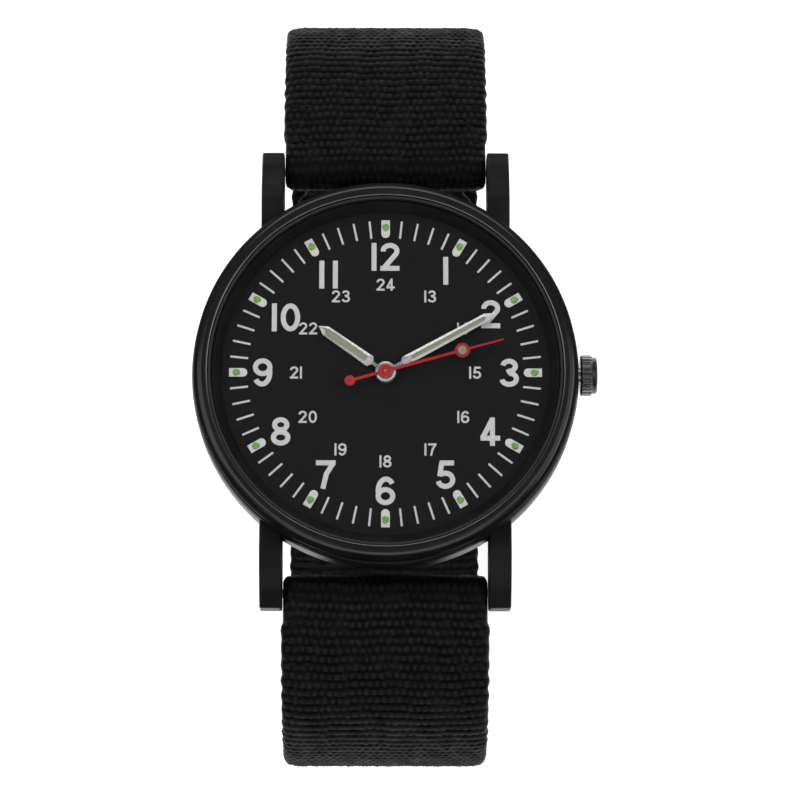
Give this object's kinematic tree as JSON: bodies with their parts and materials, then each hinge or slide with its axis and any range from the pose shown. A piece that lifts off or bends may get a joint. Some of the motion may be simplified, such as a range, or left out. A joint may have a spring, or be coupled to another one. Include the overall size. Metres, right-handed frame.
{
  "type": "wristwatch",
  "caption": "Round quartz wristwatch with straight lugs, a twelve-hour numeral dial, a fluted crown and a woven strap closed in a loop by a pin buckle.",
  "frame": {"origin": "centre of the case back's outer face, on the axis of the hands", "axes": "+Z out of the dial towards the reader, +Y towards 12 o'clock, +X towards 3 o'clock and the crown"},
  "size_m": [0.0396, 0.079, 0.0502],
  "materials": {
    "case_black": "satin",
    "bezel_black": "gloss",
    "crystal": "polished",
    "rubber_black": "matt",
    "rehaut_black": "matt",
    "dial_black": "matt",
    "marker_white": "matt",
    "lume": "matt",
    "hand_silver": "polished",
    "hand_red": "satin",
    "gilt_brass": "fine brushed",
    "steel": "satin",
    "white_plastic": "matt",
    "board_green": "satin",
    "chip_black": "matt",
    "copper_wire": "gloss",
    "webbing_black": "woven",
    "buckle_black": "satin"
  },
  "bodies": {
    "head": {"case_middle": "case_black", "bezel": "bezel_black", "crystal": "crystal", "crystal_gasket": "rubber_black", "rehaut_ring": "rehaut_black", "dial": "dial_black", "hour_markers": "marker_white", "dial_washer": "gilt_brass", "main_plate": "gilt_brass", "train_bridge": "steel", "movement_screws": "steel", "movement_ring": "white_plastic", "circuit_board": "board_green", "ic_chip": "chip_black", "quartz_can": "steel", "coil_core": "steel", "coil": "copper_wire", "stator": "steel", "crown_tube": "steel", "battery": "steel", "battery_contact": "gilt_brass", "battery_clamp": "steel", "case_back": "steel", "case_back_gasket": "rubber_black", "spring_bar_12": "steel", "spring_bar_6": "steel"},
    "seconds": {"seconds_hand": "hand_red", "seconds_lume": "lume", "seconds_wheel": "gilt_brass"},
    "rotor": {"rotor": "steel"},
    "intermediate": {"intermediate_wheel": "gilt_brass"},
    "third": {"third_wheel": "gilt_brass"},
    "minutes": {"minute_hand": "hand_silver", "minute_lume": "lume", "centre_wheel": "gilt_brass", "cannon_pinion": "gilt_brass"},
    "minute_work": {"minute_wheel": "gilt_brass"},
    "hours": {"hour_hand": "hand_silver", "hour_lume": "lume", "hour_wheel": "gilt_brass"},
    "setting": {"setting_wheel": "gilt_brass"},
    "clutch": {"sliding_pinion": "steel"},
    "crown": {"crown": "case_black", "crown_gasket": "rubber_black", "stem": "steel"},
    "lever": {"setting_lever": "steel"},
    "yoke": {"yoke": "steel"},
    "short_half": {"strap_short": "webbing_black", "keeper_fixed": "webbing_black", "buckle_pin": "steel"},
    "long_half": {"strap_long": "webbing_black"},
    "loose_keeper": {"keeper_loose": "webbing_black"},
    "frame": {"buckle_frame": "buckle_black"},
    "tongue": {"buckle_tongue": "buckle_black"},
    "pin_12_right": {"bar_pin_12_right": "steel"},
    "pin_12_left": {"bar_pin_12_left": "steel"},
    "pin_6_right": {"bar_pin_6_right": "steel"},
    "pin_6_left": {"bar_pin_6_left": "steel"}
  },
  "joints": [
    {"name": "seconds_hand_turn", "type": "hinge", "parent": "head", "child": "seconds", "pos_m": [0, 0, 0.00718], "axis": [0, 0, -1], "continuous": true},
    {"name": "rotor_turn", "type": "hinge", "parent": "head", "child": "rotor", "pos_m": [0.00075, 0.00472, 0.0032], "axis": [0, 0, -1], "continuous": true},
    {"name": "intermediate_turn", "type": "hinge", "parent": "head", "child": "intermediate", "pos_m": [0.00151, 0.00262, 0.00256], "axis": [0, 0, -1], "continuous": true},
    {"name": "third_turn", "type": "hinge", "parent": "head", "child": "third", "pos_m": [0.00265, -0.00153, 0.00306], "axis": [0, 0, -1], "continuous": true},
    {"name": "minute_hand_turn", "type": "hinge", "parent": "head", "child": "minutes", "pos_m": [0, 0, 0.00692], "axis": [0, 0, -1], "continuous": true},
    {"name": "minute_wheel_turn", "type": "hinge", "parent": "head", "child": "minute_work", "pos_m": [0.0024, 0, 0.00535], "axis": [0, 0, -1], "continuous": true},
    {"name": "hour_hand_turn", "type": "hinge", "parent": "head", "child": "hours", "pos_m": [0, 0, 0.00662], "axis": [0, 0, -1], "continuous": true},
    {"name": "setting_wheel_turn", "type": "hinge", "parent": "head", "child": "setting", "pos_m": [0.0054, 0, 0.00535], "axis": [0, 0, -1], "continuous": true},
    {"name": "crown_turn", "type": "hinge", "parent": "head", "child": "clutch", "pos_m": [0.0076, 0, 0.0049], "axis": [1, 0, 0], "continuous": true},
    {"name": "crown_pull", "type": "slide", "parent": "clutch", "child": "crown", "axis": [1, 0, 0], "range_m": [0, 0.0011]},
    {"name": "setting_lever_turn", "type": "hinge", "parent": "head", "child": "lever", "pos_m": [0.0093, 0.0024, 0.0055], "axis": [0, 0, 1], "range_deg": [0, 27]},
    {"name": "yoke_turn", "type": "hinge", "parent": "head", "child": "yoke", "pos_m": [0.0072, -0.0033, 0.0055], "axis": [0, 0, 1], "range_deg": [0, 8.5]},
    {"name": "strap_short_swing", "type": "hinge", "parent": "head", "child": "short_half", "pos_m": [0, 0.0212, 0.0022], "axis": [1, 0, 0], "range_deg": [0, 75]},
    {"name": "strap_long_swing", "type": "hinge", "parent": "head", "child": "long_half", "pos_m": [0, -0.0212, 0.0022], "axis": [1, 0, 0], "range_deg": [0, 15]},
    {"name": "keeper_slide", "type": "hinge", "parent": "short_half", "child": "loose_keeper", "pos_m": [0, 0.00258, 0.00987], "axis": [1, 0, 0], "range_deg": [-3.5, 9]},
    {"name": "buckle_swing", "type": "hinge", "parent": "short_half", "child": "frame", "pos_m": [0, 0.00694, -0.03994], "axis": [1, 0, 0], "range_deg": [0, 90]},
    {"name": "tongue_swing", "type": "hinge", "parent": "short_half", "child": "tongue", "pos_m": [0, 0.00694, -0.03994], "axis": [1, 0, 0], "range_deg": [0, 100]},
    {"name": "bar_pin_12_right_press", "type": "slide", "parent": "head", "child": "pin_12_right", "axis": [-1, 0, 0], "range_m": [0, 0.0014], "stiffness_N_per_m": 300, "springref_m": -0.002},
    {"name": "bar_pin_12_left_press", "type": "slide", "parent": "head", "child": "pin_12_left", "axis": [1, 0, 0], "range_m": [0, 0.0014], "stiffness_N_per_m": 300, "springref_m": -0.002},
    {"name": "bar_pin_6_right_press", "type": "slide", "parent": "head", "child": "pin_6_right", "axis": [-1, 0, 0], "range_m": [0, 0.0014], "stiffness_N_per_m": 300, "springref_m": -0.002},
    {"name": "bar_pin_6_left_press", "type": "slide", "parent": "head", "child": "pin_6_left", "axis": [1, 0, 0], "range_m": [0, 0.0014], "stiffness_N_per_m": 300, "springref_m": -0.002}
  ],
  "couplings": [
    {"joint": "rotor_turn", "follows": "seconds_hand_turn", "ratio": 30},
    {"joint": "intermediate_turn", "follows": "seconds_hand_turn", "ratio": -5},
    {"joint": "third_turn", "follows": "seconds_hand_turn", "ratio": -0.13333},
    {"joint": "minute_hand_turn", "follows": "seconds_hand_turn", "ratio": 0.016667},
    {"joint": "minute_wheel_turn", "follows": "seconds_hand_turn", "ratio": -0.0055556},
    {"joint": "hour_hand_turn", "follows": "seconds_hand_turn", "ratio": 0.0013889},
    {"joint": "setting_wheel_turn", "follows": "seconds_hand_turn", "ratio": 0.0083333},
    {"joint": "setting_lever_turn", "follows": "crown_pull", "rad_per_m": 416.6},
    {"joint": "yoke_turn", "follows": "crown_pull", "rad_per_m": 127}
  ]
}
